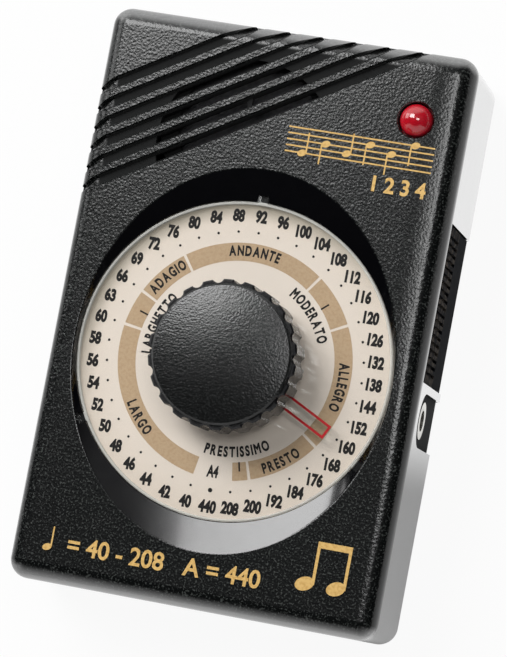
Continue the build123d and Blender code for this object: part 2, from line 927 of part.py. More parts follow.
def knob_cap():
    edge = cap_radius - cap_bevel
    crown = (edge ** 2 + cap_dome ** 2) / (2 * cap_dome)
    top = cap_z1 + cap_dome
    corners = [(edge, cap_z1), (cap_radius, cap_z1 - cap_bevel), (cap_radius, knob_z1), (0, knob_z1), (0, top)]
    half_turn = degrees(asin(edge / crown))
    dome = CenterArc((0, top - crown), crown, 90 - half_turn, half_turn)
    outline = make_face([Polyline(*corners), dome])
    cap = Pos(0, dial_y, 0) * revolve(Plane.XZ * outline, Axis.Z)
    return cap + post(0, dial_y, head_radius, knob_z1 - cap_peg, knob_z1)


def knob_screw():
    seat = knob_z1 - hub_web_drop
    top = seat + small_head_height
    screw = post(0, dial_y, small_head, seat, top)
    screw += post(0, dial_y, small_radius, seat - small_length, seat)
    return screw - Pos(0, dial_y, top) * Box(small_head, drive_width, drive_depth)


def pointer():
    plate = post(0, dial_y, pointer_disc, pointer_z0, pointer_z1)
    half = pointer_width / 2
    plate += around_dial(pointer_angle) * block(-half, half, 0, pointer_reach, pointer_z0, pointer_z1)
    return plate - post(0, dial_y, shaft_radius + press_play, 0, knob_z0)


def shaft():
    top = knob_z1 - hub_web_drop - hub_web - shaft_end_gap
    pin = post(0, dial_y, shaft_radius, rotor_z0 - shaft_step, top)
    pin += post(0, dial_y, pilot_radius, pcb_z0 + shaft_end_gap, rotor_z0)
    return pin - post(0, dial_y, small_radius + thread_play, top - small_length, top + over)


def switch_rotor():
    return ring(0, dial_y, rotor_radius, shaft_radius + press_play, rotor_z0, rotor_z1)


def wiper_contacts():
    base_z = rotor_z0 - wiper_thick
    low = pcb_z1 + track_thick + wiper_gap
    half = wiper_width / 2
    inner = common_inner - wiper_overhang
    blade = block(-half, half, inner, pad_outer + wiper_overhang, base_z, rotor_z0)
    for radius in ((common_inner + common_outer) / 2, (pad_inner + pad_outer) / 2):
        blade += post(0, radius, finger_radius, low, base_z)
    return around_dial(pointer_angle) * blade


def detent_spring():
    nose = detent_radius - nose_gap
    half = spring_width / 2
    low = rotor_z0 - spring_thick
    leaf = block(-half, half, rotor_radius - spring_root, nose, low, rotor_z0)
    half = nose_width / 2
    leaf += block(-half, half, nose - nose_length, nose, low, rotor_z1 - nose_top_gap)
    return around_dial(pointer_angle + 180) * leaf


def detent_ring():
    profile = Circle(detent_radius + detent_rim) - Circle(detent_radius)
    profile -= notches(detent_radius, notch_depth, notch_width, step_count, 90)
    return Pos(0, dial_y, dial_z0 - detent_thick) * extrude(profile, detent_thick)


nodes = {
    "front_shell": front_shell(),
    "rear_shell": rear_shell(),
    "case_screws": case_screws(),
    "small_screws": small_screws(),
    "battery_door": battery_door(),
    "battery": battery(),
    "battery_terminals": battery_terminals(),
    "snap_studs": snap_studs(),
    "battery_snap": battery_snap(),
    "battery_pad": battery_pad(),
    "battery_wires": battery_wires(),
    "dial_plate": dial_plate(),
    "dial_window": dial_window(),
    "dial_bush": dial_bush(),
    "led_lens": led_lens(),
    "led_leads": led_leads(),
    "led_spacer": led_spacer(),
    "speaker_frame": speaker_frame(),
    "speaker_cone": speaker_cone(),
    "speaker_magnet": speaker_magnet(),
    "speaker_gasket": speaker_gasket(),
    "speaker_bracket": speaker_bracket(),
    "speaker_wires": speaker_wires(),
    "main_pcb": main_pcb(),
    "contact_tracks": contact_tracks(),
    "timing_ic": timing_ic(),
    "quartz_crystal": quartz_crystal(),
    "capacitors": capacitors(),
    "resistors": resistors(),
    "transistor": transistor(),
    "earphone_socket": earphone_socket(),
    "socket_ferrule": socket_ferrule(),
    "socket_blades": socket_blades(),
    "volume_pot": volume_pot(),
    "volume_wheel": volume_wheel(),
    "tempo_knob": tempo_knob(),
    "knob_cap": knob_cap(),
    "knob_screw": knob_screw(),
    "pointer": pointer(),
    "shaft": shaft(),
    "switch_rotor": switch_rotor(),
    "wiper_contacts": wiper_contacts(),
    "detent_spring": detent_spring(),
    "detent_ring": detent_ring(),
}

for name, solid in nodes.items():
    export_step(solid, f"parts/{name}.step")
    box = solid.bounding_box()
    low = [round(value, 2) for value in box.min]
    high = [round(value, 2) for value in box.max]
    print(name, len(solid.solids()), low, high)
print("case", round(case_width, 2), round(case_height, 2), round(case_depth, 2))
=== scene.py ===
import json
import math

import bmesh
import bpy
from mathutils import Matrix, Vector


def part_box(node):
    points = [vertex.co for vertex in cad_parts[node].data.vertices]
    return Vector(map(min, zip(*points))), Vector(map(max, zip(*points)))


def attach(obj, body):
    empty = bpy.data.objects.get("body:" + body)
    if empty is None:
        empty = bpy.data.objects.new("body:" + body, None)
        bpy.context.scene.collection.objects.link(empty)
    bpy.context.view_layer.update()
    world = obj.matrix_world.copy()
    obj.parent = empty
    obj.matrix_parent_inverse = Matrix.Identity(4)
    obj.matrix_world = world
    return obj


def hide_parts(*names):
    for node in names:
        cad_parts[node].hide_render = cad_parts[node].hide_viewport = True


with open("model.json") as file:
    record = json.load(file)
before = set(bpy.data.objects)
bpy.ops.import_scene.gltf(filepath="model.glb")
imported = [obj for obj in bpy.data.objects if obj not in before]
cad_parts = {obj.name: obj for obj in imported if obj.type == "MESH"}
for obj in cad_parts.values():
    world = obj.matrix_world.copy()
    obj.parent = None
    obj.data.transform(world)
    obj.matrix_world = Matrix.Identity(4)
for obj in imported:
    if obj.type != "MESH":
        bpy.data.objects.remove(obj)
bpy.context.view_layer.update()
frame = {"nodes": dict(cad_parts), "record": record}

mm = 0.001
scene = bpy.context.scene
scene.view_settings.view_transform = "Standard"


# Shader tools
class Value:  # a socket that takes part in sums
    def __init__(self, finish, socket):
        self.finish = finish
        self.socket = socket

    def join(self, operation, first, second=0.0):
        return self.finish.node("ShaderNodeMath", {"operation": operation}, {0: first, 1: second})

    def __add__(self, other):
        return self.join("ADD", self, other)

    def __sub__(self, other):
        return self.join("SUBTRACT", self, other)

    def __rsub__(self, other):
        return self.join("SUBTRACT", other, self)

    def __mul__(self, other):
        return self.join("MULTIPLY", self, other)

    def __truediv__(self, other):
        return self.join("DIVIDE", self, other)

    def __rtruediv__(self, other):
        return self.join("DIVIDE", other, self)

    def __pow__(self, other):
        return self.join("POWER", self, other)

    def __abs__(self):
        return self.join("ABSOLUTE", self)

    def least(self, other):
        return self.join("MINIMUM", self, other)

    def most(self, other):
        return self.join("MAXIMUM", self, other)

    __radd__ = __add__
    __rmul__ = __mul__


softDetail = 2.0  # octaves of a noise
fineDetail = 3.0
sharpDetail = 4.0
leatherGrain = {"fineSize": 0.8, "fineDepth": 0.9}  # shares of the cells' size and depth


class Finish:
    def __init__(self, name, tree=None):
        if tree is None:
            self.material = bpy.data.materials.new(name)
            self.material.use_nodes = True
            tree = self.material.node_tree
        self.tree = tree
        tree.nodes.clear()

    def node(self, kind, settings=None, sockets=None, out=0):
        made = self.tree.nodes.new(kind)
        for key, value in (settings or {}).items():
            setattr(made, key, value)
        for key, value in (sockets or {}).items():
            if isinstance(value, Value):
                self.tree.links.new(value.socket, made.inputs[key])
            else:
                made.inputs[key].default_value = value
        return Value(self, made.outputs[out]) if made.outputs else None

    def place(self):  # model coordinates, in metres
        return self.node("ShaderNodeTexCoord", out="Object")

    def axis(self, letter):  # one model coordinate, in mm
        parts = self.node("ShaderNodeSeparateXYZ", {}, {0: self.place()}, out=letter)
        return parts * (1 / mm)

    def noise(self, size, detail=softDetail, stretch=None):  # size of a blot in mm
        vector = self.place()
        if stretch:
            vector = self.node("ShaderNodeMapping", {}, {"Vector": vector, "Scale": stretch})
        sockets = {"Vector": vector, "Scale": 1 / (size * mm), "Detail": detail}
        return self.node("ShaderNodeTexNoise", {}, sockets)

    def cells(self, size):  # rounded cells, size in mm
        sockets = {"Vector": self.place(), "Scale": 1 / (size * mm)}
        return self.node("ShaderNodeTexVoronoi", {"feature": "SMOOTH_F1"}, sockets)

    def leather(self, size):  # moulded leather: its height, and the finer part alone
        fine = self.noise(size * leatherGrain["fineSize"], fineDetail)
        return self.cells(size) + fine * leatherGrain["fineDepth"], fine

    def span(self, value, low, high, start=0.0, end=1.0):  # eased from start to end
        sockets = {"Value": value, "From Min": low, "From Max": high, "To Min": start, "To Max": end}
        return self.node("ShaderNodeMapRange", {"interpolation_type": "SMOOTHSTEP"}, sockets)

    def between(self, value, low, high, ease):  # 1 from low to high, eased inside both
        return self.span(value, low, low + ease) * self.span(value, high, high - ease)

    def mix(self, factor, first, second):
        return self.node("ShaderNodeMix", {"data_type": "RGBA"}, {0: factor, 6: first, 7: second}, out=2)

    def bump(self, height, depth, strength=1.0):  # depth in mm
        sockets = {"Height": height, "Distance": depth * mm, "Strength": strength}
        return self.node("ShaderNodeBump", {}, sockets)

    def pitted(self, size, depth, strength, detail=softDetail):  # finely uneven, size and depth in mm
        return self.bump(self.noise(size, detail), depth, strength)

    def shine(self, sockets):
        return self.node("ShaderNodeBsdfPrincipled", {}, sockets)

    def mirror(self, colour, rough):
        return self.shine({"Base Color": colour, "Metallic": 1.0, "Roughness": rough})

    def blend(self, share, first, second):  # a share of the second shader over the first
        return self.node("ShaderNodeMixShader", {}, {0: share, 1: first, 2: second})

    def facing(self):  # 0 where seen square on, 1 at the edge
        return self.node("ShaderNodeLayerWeight", {}, {"Blend": 0.5}, out="Facing")

    def close(self, shader):
        self.node("ShaderNodeOutputMaterial", {}, {"Surface": shader})
        return self.material


def tone(red, green, blue):  # picture colour to linear
    shares = [value / 255 for value in (red, green, blue)]
    linear = [((share + 0.055) / 1.055) ** 2.4 if share > 0.04045 else share / 12.92 for share in shares]
    return (*linear, 1.0)


def grey(share):
    return (share, share, share, 1.0)


white = grey(1.0)


# Places read from the frame, in mm
def nodeBox(name):
    low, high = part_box(name)
    return low / mm, high / mm


caseLow, caseHigh = nodeBox("front_shell")
plateLow, plateHigh = nodeBox("dial_plate")
windowHigh = nodeBox("dial_window")[1]
pointerTop = nodeBox("pointer")[1].z
lampTop = nodeBox("led_lens")[1].z
faceZ = caseHigh.z
dialZ = plateHigh.z
dialX = (plateLow.x + plateHigh.x) / 2
dialY = (plateLow.y + plateHigh.y) / 2
dialRadius = (plateHigh.x - plateLow.x) / 2
capRadius = nodeBox("knob_cap")[1].x - dialX
print("frame read: case", [round(value, 2) for value in caseHigh - caseLow])


def outFromDial(finish, wide=1.0, tall=1.0):  # from the dial's middle, in mm or in shares of a reach
    across = (finish.axis("X") - dialX) / wide
    along = (finish.axis("Y") - dialY) / tall
    return (across * across + along * along) ** 0.5


# Front shell: leather grain on the face, smooth in the dish and on the walls; lighter grain tips are
# partly wear, partly painted glint
frontShell = {
    "colour": tone(5, 7, 7),
    "cloud": tone(10, 12, 12),
    "cloudSize": 14.0,
    # lighter grain tips: partly wear, partly painted glint of the grain
    "wornAndGlint": tone(66, 69, 67),
    "wornAndGlintTips": (0.52, 0.7),
    "grainSize": 0.45,
    "grainDepth": 0.03,
    "grainBump": 0.9,
    "grainRough": 0.16,
    "grooveRough": 0.85,
    "grooveDown": (0.2, 0.7),  # measured down from the face
    "grooveIn": (2.8, 3.4),  # and in from the walls, clear of the rounding
    "smoothRough": 0.13,
    "smoothEdge": (0.3, 0.9),  # measured in from the walls
    "smearSize": 2.2,
    "smearStretch": (1.0, 1.0, 0.3),
    "smearRough": 0.06,
    "shine": 0.5,
    "coatRough": 0.07,
    "coatIndex": 1.25,
    "dishColour": tone(2, 2, 4),
    "dishReach": (27.75, 32.95),  # half the dish across and along
    "dishEdge": 0.985,
    "ends": (3.0, 1.6),  # top and bottom rounding, worn smooth
    "endSlant": (0.04, 0.42),
    "endPolish": 0.25,
    "endRough": 0.28,
    "endGrain": 0.1,
    "fall": 1.05,  # shaded to fall a little towards the right edge, less so low down
    "fallWidth": 7.5,
    "fallFrom": (-24.0, 6.0),
}


def frontPlastic():
    look = frontShell
    finish = Finish("front_plastic")
    x = finish.axis("X")
    y = finish.axis("Y")
    dish = finish.span(outFromDial(finish, *look["dishReach"]) ** 2, 1.0, look["dishEdge"])
    inward = (caseHigh.x - abs(x)).least(caseHigh.y - abs(y))
    grained = finish.span(inward, *look["smoothEdge"]) * (1 - dish)
    deep = finish.span(faceZ - finish.axis("Z"), *look["grooveDown"])
    sunk = deep * finish.span(inward, *look["grooveIn"]) * grained
    ends = finish.span(caseHigh.y - abs(y), *look["ends"])
    grain, fine = finish.leather(look["grainSize"])
    slope = (1 - (caseHigh.x - x) / look["fallWidth"]).most(0.0) ** 2
    fall = slope * finish.span(y, *look["fallFrom"], 0.0, look["fall"]) * (1 - dish)
    height = grain * grained * look["grainDepth"] - fall
    # painted glint: a share of the grain tips is lightened, standing in for the grain's sparkle as well as
    # wear
    glintAndWearTips = finish.span(fine, *look["wornAndGlintTips"]) * (grained - sunk)
    clouds = finish.noise(look["cloudSize"], fineDetail)
    clouded = finish.mix(clouds, look["colour"], look["cloud"])
    smears = finish.noise(look["smearSize"], sharpDetail, look["smearStretch"])
    rough = look["smoothRough"] + smears * look["smearRough"]
    rough = rough + grained * (look["grainRough"] - look["smoothRough"])
    rough = rough + sunk * (look["grooveRough"] - look["grainRough"])
    plastic = finish.shine({
        "Base Color": finish.mix(dish, finish.mix(glintAndWearTips, clouded, look["wornAndGlint"]), look["dishColour"]),
        "Roughness": rough,
        "Specular IOR Level": look["shine"],
        "Coat Weight": (1 - grained) * (1 - ends),
        "Coat Roughness": look["coatRough"],
        "Coat IOR": look["coatIndex"],
        "Normal": finish.bump(height, 1.0, look["grainBump"]),
    })
    slant = ends * finish.span(finish.facing(), *look["endSlant"]) * look["endPolish"]
    polish = finish.mirror(white, look["endRough"] + fine * look["endGrain"])
    return finish.close(finish.blend(slant, plastic, polish))


# Rear shell: polished walls, finely scuffed, dull in the recesses of the right side
rearShell = {
    "colour": tone(24, 26, 28),
    "cloud": tone(36, 38, 40),
    "cloudSize": 18.0,
    "rough": 0.2,
    "scuffSize": 3.0,
    "scuffStretch": (1.0, 0.4, 1.0),
    "scuffRough": 0.1,
    "shine": 0.3,
    "coatRough": 0.07,
    "coatIndex": 1.5,
    "pits": (0.5, 0.008, 0.5),  # size, depth and strength
    "slant": (0.6, 0.82),  # polish shows where a wall is seen at a slant
    "polish": 0.5,
    "polishRough": 0.08,
    "polishScuff": 0.04,
    "recessX": (caseHigh.x - 4.5, caseHigh.x - 0.3, 0.2),  # from, to and softness
    "recessY": (-25.0, 23.0, 0.5),
    "recessRough": 0.7,
}


def rearPlastic():
    look = rearShell
    finish = Finish("rear_plastic")
    scuffs = finish.noise(look["scuffSize"], sharpDetail, look["scuffStretch"])
    inside = finish.between(finish.axis("X"), *look["recessX"])
    recess = inside * finish.between(finish.axis("Y"), *look["recessY"])
    clouds = finish.noise(look["cloudSize"], fineDetail)
    plastic = finish.shine({
        "Base Color": finish.mix(clouds, look["colour"], look["cloud"]),
        "Roughness": look["rough"] + scuffs * look["scuffRough"] + recess * look["recessRough"],
        "Specular IOR Level": look["shine"],
        "Coat Weight": 1 - recess,
        "Coat Roughness": look["coatRough"],
        "Coat IOR": look["coatIndex"],
        "Normal": finish.pitted(*look["pits"]),
    })
    slant = finish.span(finish.facing(), *look["slant"]) * look["polish"] * (1 - recess)
    polish = finish.mirror(white, look["polishRough"] + scuffs * look["polishScuff"])
    return finish.close(finish.blend(slant, plastic, polish))


# Battery door: dull, mottled over the ribs
batteryDoor = {
    "colour": tone(13, 15, 20),
    "ribs": tone(78, 72, 66),
    "ribFrom": (9.8, 11.0),
    "ribDepth": (caseHigh.x - 1.2, caseHigh.x - 0.9),
    "mottleSize": 1.6,
    "mottle": (0.42, 0.62),
    "rough": 0.75,
    "roughSize": 2.0,
    "roughSpread": 0.15,
    "shine": 0.04,
    "pits": (0.4, 0.02, 0.6),
}


def doorPlastic():
    look = batteryDoor
    finish = Finish("door_plastic")
    outer = finish.span(finish.axis("X"), *look["ribDepth"])
    ribbed = finish.span(finish.axis("Z"), *look["ribFrom"]) * outer
    mottle = finish.span(finish.noise(look["mottleSize"], fineDetail), *look["mottle"])
    return finish.close(finish.shine({
        "Base Color": finish.mix(ribbed * mottle, look["colour"], look["ribs"]),
        "Roughness": look["rough"] + finish.noise(look["roughSize"], fineDetail) * look["roughSpread"],
        "Specular IOR Level": look["shine"],
        "Normal": finish.pitted(*look["pits"]),
    }))


# Plain mouldings: slot, colour, second colour, blot size, roughness, grain size, grain depth, coat, shine
mouldings = {
    "knob_black": (tone(14, 14, 16), tone(20, 20, 22), 6.0, 0.25, 0.9, 0.006, 0.0, 0.4),
    "wheel_black": (tone(24, 24, 25), tone(38, 38, 38), 4.0, 0.45, 0.5, 0.02, 0.0, 0.5),
    "socket_black": (tone(26, 26, 28), tone(36, 36, 37), 3.0, 0.4, 0.5, 0.015, 0.0, 0.5),
    "rotor_white": (tone(226, 225, 219), tone(210, 208, 200), 5.0, 0.35, 0.6, 0.01, 0.0, 0.5),
    "chip": (tone(30, 30, 31), tone(42, 42, 42), 1.2, 0.55, 0.25, 0.02, 0.0, 0.5),
    "can_blue": (tone(34, 52, 112), tone(24, 38, 90), 2.5, 0.25, 0.8, 0.008, 0.3, 0.5),
    "resistor": (tone(200, 172, 128), tone(176, 146, 102), 1.5, 0.3, 0.4, 0.012, 0.2, 0.5),
    "wire_red": (tone(168, 28, 26), tone(140, 22, 22), 2.0, 0.4, 0.5, 0.012, 0.0, 0.5),
    "wire_grey": (tone(118, 119, 122), tone(98, 99, 102), 2.0, 0.4, 0.5, 0.012, 0.0, 0.5),
    "foam": (tone(38, 38, 39), tone(22, 22, 23), 0.5, 0.9, 0.35, 0.12, 0.0, 0.5),
    "cone_film": (tone(40, 40, 43), tone(56, 56, 58), 0.8, 0.7, 0.3, 0.03, 0.0, 0.5),
    "magnet": (tone(62, 63, 66), tone(84, 85, 88), 1.0, 0.5, 0.4, 0.02, 0.0, 0.5),
    "speaker_pan": (tone(40, 41, 43), tone(54, 55, 57), 3.0, 0.35, 0.6, 0.01, 0.2, 0.5),
    "board": (tone(34, 96, 58), tone(26, 80, 48), 3.0, 0.3, 1.2, 0.015, 0.3, 0.5),
}
mouldingLook = {"blots": (0.35, 0.65), "roughSpread": 0.12, "coatRough": 0.08, "pitting": 0.9}


def moulded(name):
    look = mouldingLook
    colour, second, blot, rough, grain, depth, coat, level = mouldings[name]
    finish = Finish(name)
    blots = finish.noise(blot, fineDetail)
    return finish.close(finish.shine({
        "Base Color": finish.mix(finish.span(blots, *look["blots"]), colour, second),
        "Roughness": rough + (blots - 0.5) * look["roughSpread"],
        "Specular IOR Level": level,
        "Coat Weight": coat,
        "Coat Roughness": look["coatRough"],
        "Normal": finish.pitted(grain, depth, look["pitting"]),
    }))


# Knob cap: finer leather, its lighter grain tips partly wear, partly painted glint
knobCap = {
    "colour": tone(6, 7, 7),
    # lighter grain tips: partly wear, partly painted glint of the grain
    "wornAndGlint": tone(32, 34, 34),
    "wornAndGlintTips": (0.5, 0.68),
    "grainSize": 0.34,
    "grainDepth": 0.032,
    "dome": 0.34,  # shaded over the low dome of the solid
    "rough": 0.2,
    "grainRough": 0.08,
    "shine": 0.6,
}


def capPlastic():
    look = knobCap
    finish = Finish("cap_black")
    grain, fine = finish.leather(look["grainSize"])
    dome = outFromDial(finish, capRadius, capRadius) ** 2 * look["dome"]
    # painted glint: lightened grain tips stand in for the grain's sparkle as well as wear
    return finish.close(finish.shine({
        "Base Color": finish.mix(finish.span(fine, *look["wornAndGlintTips"]), look["colour"], look["wornAndGlint"]),
        "Roughness": look["rough"] + fine * look["grainRough"],
        "Specular IOR Level": look["shine"],
        "Normal": finish.bump(grain * look["grainDepth"] - dome, 1.0),
    }))


# Bare and plated metals: slot, colour, tarnish, roughness, brushing direction
metals = {
    "steel": (tone(186, 187, 190), tone(150, 150, 150), 0.28, (1.0, 1.0, 4.0)),
    "bracket_steel": (tone(178, 178, 174), tone(140, 138, 132), 0.32, (0.1, 1.0, 1.0)),
    "brass": (tone(206, 172, 96), tone(160, 124, 62), 0.26, (1.0, 1.0, 5.0)),
    "copper": (tone(200, 132, 92), tone(158, 96, 62), 0.3, (1.0, 1.0, 1.0)),
    "nickel": (tone(212, 210, 204), tone(170, 168, 162), 0.18, (4.0, 1.0, 1.0)),
    "battery_jacket": (tone(66, 67, 74), tone(48, 49, 56), 0.34, (0.05, 1.0, 1.0)),
}
platedLook = {
    "lineSize": 0.35,
    "lineRough": 0.12,
    "lineDepth": 0.006,
    "lineBump": 0.6,
    "stainSize": 3.5,
    "stain": (0.5, 0.75),
    "stainRough": 0.08,
}


def plated(name):
    look = platedLook
    colour, tarnish, rough, brush = metals[name]
    finish = Finish(name)
    lines = finish.noise(look["lineSize"], fineDetail, brush)
    stain = finish.span(finish.noise(look["stainSize"], fineDetail), *look["stain"])
    return finish.close(finish.shine({
        "Base Color": finish.mix(stain, colour, tarnish),
        "Metallic": 1.0,
        "Roughness": rough + lines * look["lineRough"] + stain * look["stainRough"],
        "Normal": finish.bump(lines, look["lineDepth"], look["lineBump"]),
    }))


# Dial: cream enamel, a little warmer towards its rim, with painted shade along the upper left of the rim
dialEnamel = {
    "colour": tone(238, 225, 214),
    "rim": tone(232, 217, 203),
    "rimFrom": 0.7,  # share of the radius
    "rimShare": 0.7,
    "patchSize": 9.0,
    "patchShare": 0.3,
    "paintedShade": tone(150, 140, 122),  # painted shade of the dish's lip along the upper left of the rim
    "paintedShadeFrom": (23.6, 27.0),
    "paintedShadeWay": (-0.5, 0.87),
    "paintedShadeSide": (-0.1, 0.8),
    "paintedShadeSize": 3.0,
    "paintedShadeShare": (0.7, 0.3),  # even and patchy
    "rough": 0.38,
    "roughSize": 1.5,
    "roughSpread": 0.08,
    "pits": (0.8, 0.004, 0.5),
}


def dialWhite():
    look = dialEnamel
    finish = Finish("dial_white")
    out = outFromDial(finish)
    ageing = finish.span(out, dialRadius * look["rimFrom"], dialRadius) * look["rimShare"]
    ageing = ageing + finish.noise(look["patchSize"], fineDetail) * look["patchShare"]
    across, along = look["paintedShadeWay"]
    way = (finish.axis("X") - dialX) * across + (finish.axis("Y") - dialY) * along
    even, patchy = look["paintedShadeShare"]
    # painted shade: darker along the upper left of the rim, where the dish's lip shades the dial, partly
    # patchy
    paintedShade = finish.span(out, *look["paintedShadeFrom"]) * finish.span(way / out, *look["paintedShadeSide"])
    paintedShade = paintedShade * (even + finish.noise(look["paintedShadeSize"], fineDetail) * patchy)
    return finish.close(finish.shine({
        "Base Color": finish.mix(paintedShade, finish.mix(ageing, look["colour"], look["rim"]), look["paintedShade"]),
        "Roughness": look["rough"] + finish.noise(look["roughSize"]) * look["roughSpread"],
        "Normal": finish.pitted(*look["pits"]),
    }))


# Clear acrylic, for the dial window and the pointer
acrylic = {
    "tint": (0.985, 0.99, 0.985, 1.0),
    "haze": (0.93, 0.94, 0.94, 1.0),
    "gloss": 0.04,
    "smearSize": 7.0,
    "smear": (0.45, 0.75),
    "smearRough": 0.05,
    "mirrorShare": 0.03,  # seen square on
    "mirrorRise": 5.0,  # how late it grows towards the edge
    "rimFrom": (26.75, 26.9),  # the ground rim
    "rimTo": (27.32, 27.4),
    "rimColour": tone(214, 214, 208),
    "rimShare": 0.55,
    "rimRough": 0.25,
    "rimSmear": 0.1,
}


def clearAcrylic():
    look = acrylic
    finish = Finish("clear")
    smear = finish.span(finish.noise(look["smearSize"], sharpDetail), *look["smear"])
    out = outFromDial(finish)
    rim = (finish.span(out, *look["rimFrom"]) - finish.span(out, *look["rimTo"])) * look["rimShare"]
    through = finish.node("ShaderNodeBsdfTransparent", {}, {"Color": look["tint"]})
    gloss = look["gloss"] + smear * look["smearRough"]
    mirror = finish.mirror(finish.mix(smear, white, look["haze"]), gloss)
    edge = look["mirrorShare"] + (1 - look["mirrorShare"]) * finish.facing() ** look["mirrorRise"]
    ground = look["rimRough"] + smear * look["rimSmear"]
    frost = finish.shine({"Base Color": look["rimColour"], "Roughness": ground})
    return finish.close(finish.blend(rim, finish.blend(edge, through, mirror), frost))


# Lamp: red resin, brighter low down where light comes through
beatLamp = {
    "deep": tone(170, 12, 30),
    "bright": tone(218, 34, 52),
    "riseFrom": faceZ - 0.6,
    "riseShare": 0.8,
    "patchSize": 1.2,
    "patchShare": 0.2,
    "rough": 0.1,
    "roughSize": 0.6,
    "roughSpread": 0.05,
    "through": 0.25,
    "throughReach": (0.002, 0.0004, 0.0004),  # metres
    "coatRough": 0.03,
    "pits": (1.5, 0.006, 0.4, 1.0),  # with little detail
}


def lampRed():
    look = beatLamp
    finish = Finish("lamp_red")
    rise = finish.span(finish.axis("Z"), look["riseFrom"], lampTop) * look["riseShare"]
    patches = finish.noise(look["patchSize"]) * look["patchShare"]
    return finish.close(finish.shine({
        "Base Color": finish.mix(rise + patches, look["bright"], look["deep"]),
        "Roughness": look["rough"] + finish.noise(look["roughSize"]) * look["roughSpread"],
        "Subsurface Weight": look["through"],
        "Subsurface Radius": look["throughReach"],
        "Coat Weight": 1.0,
        "Coat Roughness": look["coatRough"],
        "Normal": finish.pitted(*look["pits"]),
    }))


# Printing inks: colour, second colour, roughness
inks = {
    "ink_black": (tone(9, 6, 6), tone(22, 15, 15), 0.6),
    "ink_beige": (tone(197, 169, 137), tone(189, 159, 126), 0.5),
    "ink_gold": (tone(220, 182, 112), tone(200, 158, 88), 0.42),
    "ink_red": (tone(186, 6, 26), tone(164, 4, 20), 0.45),
}
inkLook = {
    "screenSize": 0.5,
    "screen": (0.4, 0.7),
    "roughSize": 0.9,
    "roughSpread": 0.12,
    "shine": 0.25,
    "pits": (0.25, 0.006, 0.6),
}


def printed(name):
    look = inkLook
    colour, second, rough = inks[name]
    finish = Finish(name)
    screen = finish.span(finish.noise(look["screenSize"], fineDetail), *look["screen"])  # uneven ink
    return finish.close(finish.shine({
        "Base Color": finish.mix(screen, colour, second),
        "Roughness": rough + finish.noise(look["roughSize"]) * look["roughSpread"],
        "Specular IOR Level": look["shine"],
        "Normal": finish.pitted(*look["pits"]),
    }))


finishes = {
    "front_plastic": frontPlastic(),
    "rear_plastic": rearPlastic(),
    "door_plastic": doorPlastic(),
    "cap_black": capPlastic(),
    "dial_white": dialWhite(),
    "clear": clearAcrylic(),
    "lamp_red": lampRed(),
}
finishes.update({name: moulded(name) for name in mouldings})
finishes.update({name: plated(name) for name in metals})
finishes.update({name: printed(name) for name in inks})
for subpart in frame["record"]["subparts"]:
    mesh = frame["nodes"][subpart["node"]].data
    mesh.materials.clear()
    mesh.materials.append(finishes[subpart["material_slot"]])
print("finishes made:", len(finishes))


# Mesh tools
def newPiece(name, sheet, finish, body):
    mesh = bpy.data.meshes.new(name)
    bmesh.ops.recalc_face_normals(sheet, faces=sheet.faces)
    sheet.to_mesh(mesh)
    sheet.free()
    mesh.materials.append(finishes[finish])
    mesh.shade_flat()
    piece = bpy.data.objects.new(name, mesh)
    scene.collection.objects.link(piece)
    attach(piece, body)
    return piece


def prism(sheet, outline, low, high):  # a closed outline raised from low to high, all in mm
    bottom = [sheet.verts.new((x * mm, y * mm, low * mm)) for x, y in outline]
    top = [sheet.verts.new((x * mm, y * mm, high * mm)) for x, y in outline]
    sheet.faces.new(bottom[::-1])
    sheet.faces.new(top)
    for index in range(len(outline)):
        after = (index + 1) % len(outline)
        sheet.faces.new((bottom[index], bottom[after], top[after], top[index]))


def onDial(radius, angle):  # angle in degrees, clockwise from twelve o'clock
    turn = math.radians(angle)
    return dialX + radius * math.sin(turn), dialY + radius * math.cos(turn)


def arcBand(inner, outer, start, end, step=2.0):
    count = max(2, math.ceil((end - start) / step))
    turns = [start + (end - start) * index / count for index in range(count + 1)]
    return [onDial(outer, turn) for turn in turns] + [onDial(inner, turn) for turn in reversed(turns)]


def disc(x, y, radius, count=24):
    turns = [2 * math.pi * index / count for index in range(count)]
    return [(x + radius * math.cos(turn), y + radius * math.sin(turn)) for turn in turns]


def bar(start, end, width):
    run = Vector(end) - Vector(start)
    side = Vector((-run.y, run.x)).normalized() * (width / 2)
    corners = (Vector(start) - side, Vector(end) - side, Vector(end) + side, Vector(start) + side)
    return [tuple(corner) for corner in corners]


letterDepth = 0.1
letterSteps = 5  # of each curve


def letterMesh(text, weight):
    curve = bpy.data.curves.new("letters", "FONT")
    curve.body = text
    curve.bevel_depth = weight
    curve.bevel_resolution = 0
    curve.extrude = letterDepth / 2
    curve.resolution_u = letterSteps
    holder = bpy.data.objects.new("letters", curve)
    scene.collection.objects.link(holder)
    mesh = bpy.data.meshes.new_from_object(holder.evaluated_get(bpy.context.evaluated_depsgraph_get()))
    bpy.data.objects.remove(holder)
    bpy.data.curves.remove(curve)
    return mesh


def meshSpan(mesh, axis):
    places = [vertex.co[axis] for vertex in mesh.vertices]
    return min(places), max(places)


capital = letterMesh("H", 0.0)
letterLow, letterHigh = meshSpan(capital, 1)
bpy.data.meshes.remove(capital)


def addText(sheet, text, style, centre, turn, low, high):
    mesh = letterMesh(text, style["weight"])
    scale = style["height"] / (letterHigh - letterLow)
    left, right = meshSpan(mesh, 0)
    depth = letterDepth + 2 * style["weight"]
    middle = Matrix.Translation((-(left + right) / 2, -(letterLow + letterHigh) / 2, depth / 2))
    grow = Matrix.Diagonal((scale * style["squeeze"], scale, (high - low) / depth, 1.0))
    place = Matrix.Translation((centre[0], centre[1], low)) @ Matrix.Rotation(turn, 4, "Z")
    mesh.transform(Matrix.Scale(mm, 4) @ place @ grow @ middle)
    sheet.from_mesh(mesh)
    bpy.data.meshes.remove(mesh)


